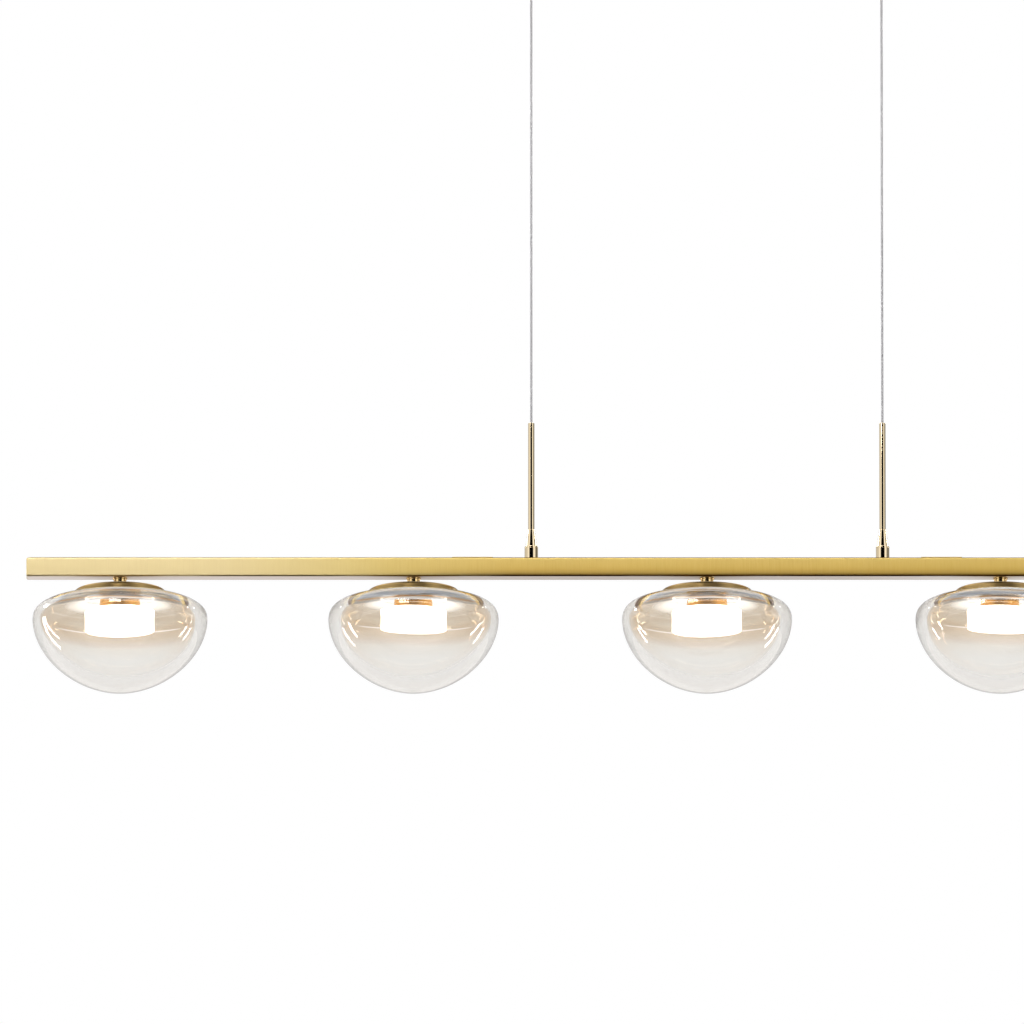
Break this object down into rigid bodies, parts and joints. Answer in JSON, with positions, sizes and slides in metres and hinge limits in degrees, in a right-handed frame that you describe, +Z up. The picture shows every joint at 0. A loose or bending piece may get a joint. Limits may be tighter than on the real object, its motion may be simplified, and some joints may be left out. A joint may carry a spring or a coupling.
{
  "type": "linear chandelier",
  "caption": "Linear chandelier: thick blown glass shades with lit drums under a square brass bar that hangs on two cables with slim stems from a ceiling canopy.",
  "frame": {"origin": "centre of the canopy's outlet box screw pattern on the ceiling plane", "axes": "+Z up into the ceiling, +X along the bar, -Y towards the viewer"},
  "size_m": [1.41, 0.177, 0.8233],
  "materials": {
    "brushed_brass": "satin, cross-brushed",
    "spun_brass": "polished",
    "pale_gold": "polished",
    "zinc_steel": "zinc plated",
    "cast_aluminium": "satin",
    "white_case": "matte",
    "board_white": "matte",
    "wire_insulation": "satin",
    "clear_jacket": "clear over stranded wire",
    "opal_acrylic": "opal, lit",
    "tinted_glass": "clear, metallic fade at the top"
  },
  "bodies": {
    "ceiling": {"mounting_bar": "zinc_steel", "canopy": "brushed_brass", "canopy_studs": "zinc_steel", "canopy_nuts": "brushed_brass", "driver": "white_case", "canopy_screws": "zinc_steel", "terminal_block": "white_case", "gripper_left": "pale_gold", "gripper_right": "pale_gold", "gripper_nuts": "zinc_steel", "canopy_leads": "clear_jacket"},
    "release_left": {"nozzle_left": "pale_gold"},
    "release_right": {"nozzle_right": "pale_gold"},
    "suspension": {"cable_left": "clear_jacket", "cable_right": "clear_jacket"},
    "fixture": {"stem_left": "pale_gold", "stem_right": "pale_gold", "collar_left": "pale_gold", "collar_right": "pale_gold", "ferrule_left": "pale_gold", "ferrule_right": "pale_gold", "stem_nuts": "zinc_steel", "cable_stops": "zinc_steel", "bar_tube": "brushed_brass", "end_cap_left": "brushed_brass", "end_cap_right": "brushed_brass", "access_plate_left": "brushed_brass", "access_plate_right": "brushed_brass", "access_screws": "spun_brass", "bar_harness": "wire_insulation", "post_nuts": "zinc_steel", "fitter_screws": "spun_brass", "led_plates": "cast_aluminium", "led_boards": "board_white", "post_1": "spun_brass", "lamp_cap_1": "spun_brass", "holder_1": "spun_brass", "diffuser_1": "opal_acrylic", "post_2": "spun_brass", "lamp_cap_2": "spun_brass", "holder_2": "spun_brass", "diffuser_2": "opal_acrylic", "post_3": "spun_brass", "lamp_cap_3": "spun_brass", "holder_3": "spun_brass", "diffuser_3": "opal_acrylic", "post_4": "spun_brass", "lamp_cap_4": "spun_brass", "holder_4": "spun_brass", "diffuser_4": "opal_acrylic", "post_5": "spun_brass", "lamp_cap_5": "spun_brass", "holder_5": "spun_brass", "diffuser_5": "opal_acrylic"},
    "shade_1": {"glass_1": "tinted_glass"},
    "shade_2": {"glass_2": "tinted_glass"},
    "shade_3": {"glass_3": "tinted_glass"},
    "shade_4": {"glass_4": "tinted_glass"},
    "shade_5": {"glass_5": "tinted_glass"}
  },
  "joints": [
    {"name": "release_left_press", "type": "slide", "parent": "ceiling", "child": "release_left", "axis": [0, 0, 1], "range_m": [0, 0.0025], "stiffness_N_per_m": 400, "springref_m": -0.001},
    {"name": "release_right_press", "type": "slide", "parent": "ceiling", "child": "release_right", "axis": [0, 0, 1], "range_m": [0, 0.0025], "stiffness_N_per_m": 400, "springref_m": -0.001},
    {"name": "swing", "type": "hinge", "parent": "ceiling", "child": "suspension", "pos_m": [0, 0, -0.058], "axis": [1, 0, 0], "range_deg": [-20, 20]},
    {"name": "height", "type": "slide", "parent": "suspension", "child": "fixture", "axis": [0, 0, 1], "range_m": [0, 0.3], "deforming": ["cable_left", "cable_right"]},
    {"name": "glass_1_turn", "type": "hinge", "parent": "fixture", "child": "shade_1", "pos_m": [-0.608, 0, -0.7523], "axis": [0, 0, 1], "continuous": true},
    {"name": "glass_2_turn", "type": "hinge", "parent": "fixture", "child": "shade_2", "pos_m": [-0.304, 0, -0.7523], "axis": [0, 0, 1], "continuous": true},
    {"name": "glass_3_turn", "type": "hinge", "parent": "fixture", "child": "shade_3", "pos_m": [0, 0, -0.7523], "axis": [0, 0, 1], "continuous": true},
    {"name": "glass_4_turn", "type": "hinge", "parent": "fixture", "child": "shade_4", "pos_m": [0.304, 0, -0.7523], "axis": [0, 0, 1], "continuous": true},
    {"name": "glass_5_turn", "type": "hinge", "parent": "fixture", "child": "shade_5", "pos_m": [0.608, 0, -0.7523], "axis": [0, 0, 1], "continuous": true}
  ]
}
